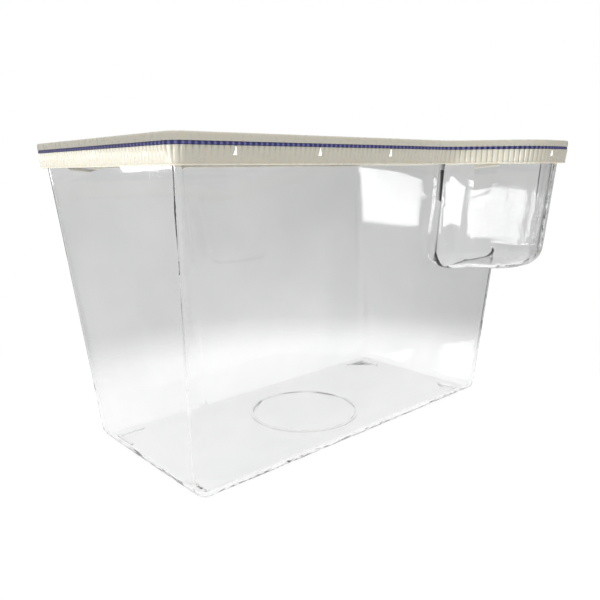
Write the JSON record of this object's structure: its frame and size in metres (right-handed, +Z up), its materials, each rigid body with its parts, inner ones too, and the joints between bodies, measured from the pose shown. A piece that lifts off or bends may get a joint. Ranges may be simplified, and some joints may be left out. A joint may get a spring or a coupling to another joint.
{
  "type": "rearing cage",
  "caption": "Clear tapered tub cage with a side pocket under its rim, a ribbed ivory collar, a blue seal and a framed clear lift-off lid with a gauze vent.",
  "frame": {"origin": "middle of the whole cage's box, on the plane that its feet stand on", "axes": "+X along the long side towards the pocket's end, -Y the side that the pocket stands out from, +Z up"},
  "size_m": [0.304, 0.213, 0.199],
  "materials": {
    "clear_plastic": "clear, polished, with faint moulding ripple",
    "ivory_plastic": "satin moulded, slightly translucent",
    "blue_rubber": "soft satin",
    "gauze": "woven fine wire"
  },
  "bodies": {
    "base": {"tub": "clear_plastic", "rim_collar": "ivory_plastic"},
    "lid_assembly": {"lid_frame": "ivory_plastic", "lid_panel": "clear_plastic", "lid_seal": "blue_rubber", "vent_mesh": "gauze", "mesh_retainer": "ivory_plastic"}
  },
  "joints": [
    {"name": "lid_lift", "type": "slide", "parent": "base", "child": "lid_assembly", "axis": [0, 0, 1], "range_m": [0, 0.06]}
  ]
}
